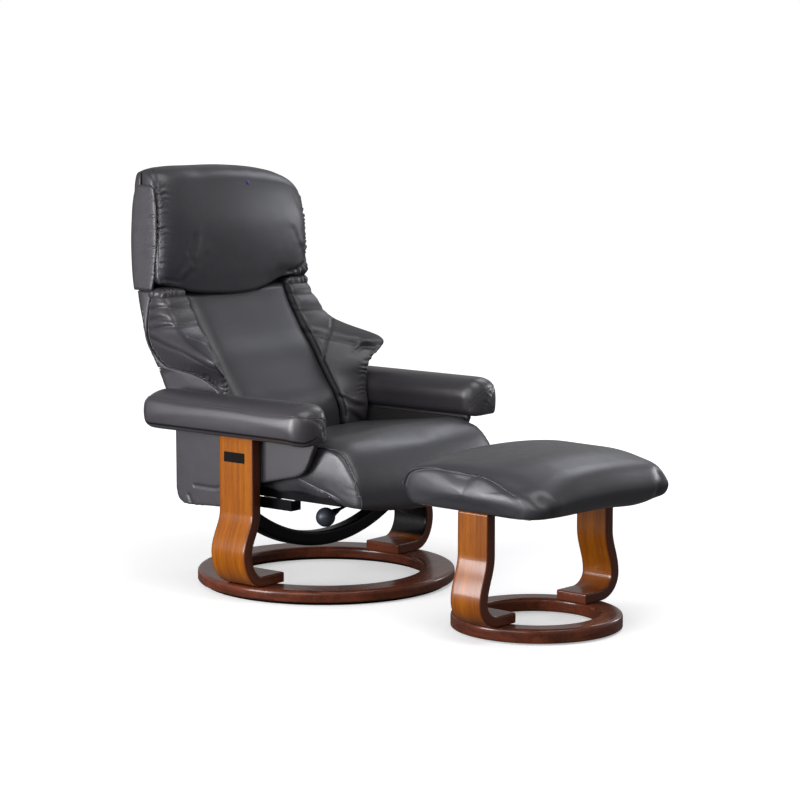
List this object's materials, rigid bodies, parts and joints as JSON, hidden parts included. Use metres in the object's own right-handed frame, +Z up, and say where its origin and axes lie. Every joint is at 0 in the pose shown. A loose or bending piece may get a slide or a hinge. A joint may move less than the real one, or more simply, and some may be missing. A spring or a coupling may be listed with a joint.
{
  "type": "reflexology chair",
  "caption": "Leather reclining lounge chair on a wooden swivel ring, with gliding seat, tilting headrest, lock lever and matching footstool.",
  "frame": {"origin": "on the floor at the chair's swivel axis, in the middle of the round base", "axes": "+Z up; the sitter faces -Y, where the footstool stands; +X is the sitter's left"},
  "size_m": [0.8222, 1.4121, 1.0946],
  "materials": {
    "leather": "satin",
    "dark_leather": "satin",
    "amber_wood": "gloss lacquer",
    "red_wood": "gloss lacquer",
    "black_steel": "gloss",
    "bare_steel": "satin",
    "plywood": "raw",
    "nylon": "matte",
    "webbing": "woven",
    "felt": "felt",
    "black_plastic": "gloss",
    "blue_plastic": "gloss"
  },
  "bodies": {
    "floor": {"floor_race": "black_steel", "race_balls": "bare_steel"},
    "chair": {"upper_race": "black_steel", "race_screws": "bare_steel", "ring_base": "red_wood", "right_leg": "amber_wood", "left_leg": "amber_wood", "foot_bolts": "bare_steel", "label_plate": "black_plastic", "bow": "black_steel", "right_track": "black_steel", "left_track": "black_steel", "track_bolts": "bare_steel", "right_rod": "bare_steel", "left_rod": "bare_steel", "right_arm_board": "plywood", "left_arm_board": "plywood", "arm_bolts": "bare_steel", "right_arm_pad": "leather", "left_arm_pad": "leather", "right_side_board": "plywood", "left_side_board": "plywood", "right_side_cover": "leather", "left_side_cover": "leather", "back_bolts": "bare_steel"},
    "seat": {"seat_frame": "black_steel", "glide_blocks": "nylon", "seat_deck": "plywood", "seat_cushion": "dark_leather", "lever_bolt": "bare_steel"},
    "lever": {"lever_arm": "black_steel", "lever_knob": "black_plastic"},
    "back": {"back_frame": "black_steel", "link_pins": "bare_steel", "back_webs": "webbing", "back_shell": "leather", "back_cushion": "dark_leather", "right_wing": "leather", "left_wing": "leather", "hinge_pins": "bare_steel"},
    "headrest": {"headrest_board": "plywood", "headrest_arms": "black_steel", "head_pillow": "dark_leather", "head_flap": "leather", "head_stud": "blue_plastic"},
    "footstool": {"stool_glides": "felt", "stool_ring": "red_wood", "stool_right_leg": "amber_wood", "stool_left_leg": "amber_wood", "stool_foot_bolts": "bare_steel", "stool_board": "plywood", "stool_board_bolts": "bare_steel", "stool_cushion": "dark_leather"}
  },
  "joints": [
    {"name": "chair_swivel", "type": "hinge", "parent": "floor", "child": "chair", "pos_m": [0, 0, 0], "axis": [0, 0, 1], "continuous": true},
    {"name": "back_recline", "type": "hinge", "parent": "chair", "child": "back", "pos_m": [0, 0.15, 0.41], "axis": [-1, 0, 0], "range_deg": [0, 25]},
    {"name": "seat_glide", "type": "slide", "parent": "chair", "child": "seat", "axis": [0, -1, 0], "range_m": [0, 0.0489]},
    {"name": "headrest_tilt", "type": "hinge", "parent": "back", "child": "headrest", "pos_m": [0, 0.36139, 0.71533], "axis": [1, 0, 0], "range_deg": [0, 12]},
    {"name": "lever_swing", "type": "hinge", "parent": "seat", "child": "lever", "pos_m": [-0.084, -0.2, 0.26], "axis": [0, 0, 1], "range_deg": [0, 25]},
    {"name": "footstool_place", "type": "slide", "parent": "floor", "child": "footstool", "axis": [0, -1, 0], "range_m": [0, 0.4]}
  ],
  "couplings": [
    {"joint": "seat_glide", "follows": "back_recline", "m_per_rad": 0.11178}
  ]
}
